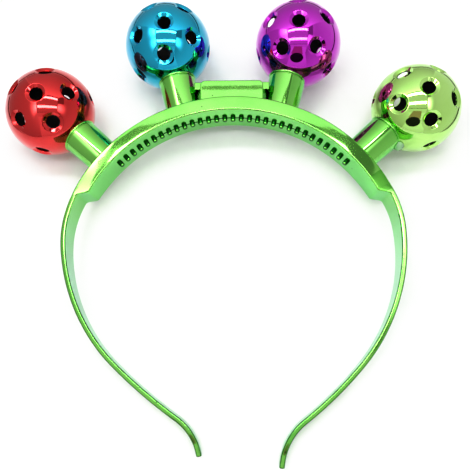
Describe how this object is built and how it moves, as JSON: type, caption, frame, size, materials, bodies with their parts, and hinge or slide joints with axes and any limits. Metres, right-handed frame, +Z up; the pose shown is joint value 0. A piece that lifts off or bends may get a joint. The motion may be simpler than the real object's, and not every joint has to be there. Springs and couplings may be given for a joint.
{
  "type": "head bopper",
  "caption": "Party headband in bright plated plastic: a deep toothed crown, thin sprung arms with flicked tips, and hollow pierced balls on round posts; worn across the top of the head.",
  "frame": {"origin": "centre of the bounding box's bottom face, on the surface the headband lies on", "axes": "+X across the head from the red ball to the lime ball, +Y along the surface from the arm tips to the balls, +Z up from the surface"},
  "size_m": [0.1986, 0.1978, 0.0402],
  "materials": {
    "green_plated": "mirror-bright green metallised plating over moulded plastic",
    "red_plated": "mirror-bright red metallised plating over moulded plastic",
    "blue_plated": "mirror-bright blue metallised plating over moulded plastic",
    "purple_plated": "mirror-bright purple metallised plating over moulded plastic",
    "lime_plated": "mirror-bright yellow-green metallised plating over moulded plastic"
  },
  "bodies": {
    "root": {"headband": "green_plated", "crown_box": "green_plated", "post_red": "green_plated", "post_blue": "green_plated", "post_purple": "green_plated", "post_lime": "green_plated", "ball_red": "red_plated", "ball_blue": "blue_plated", "ball_purple": "purple_plated", "ball_lime": "lime_plated"}
  },
  "joints": []
}
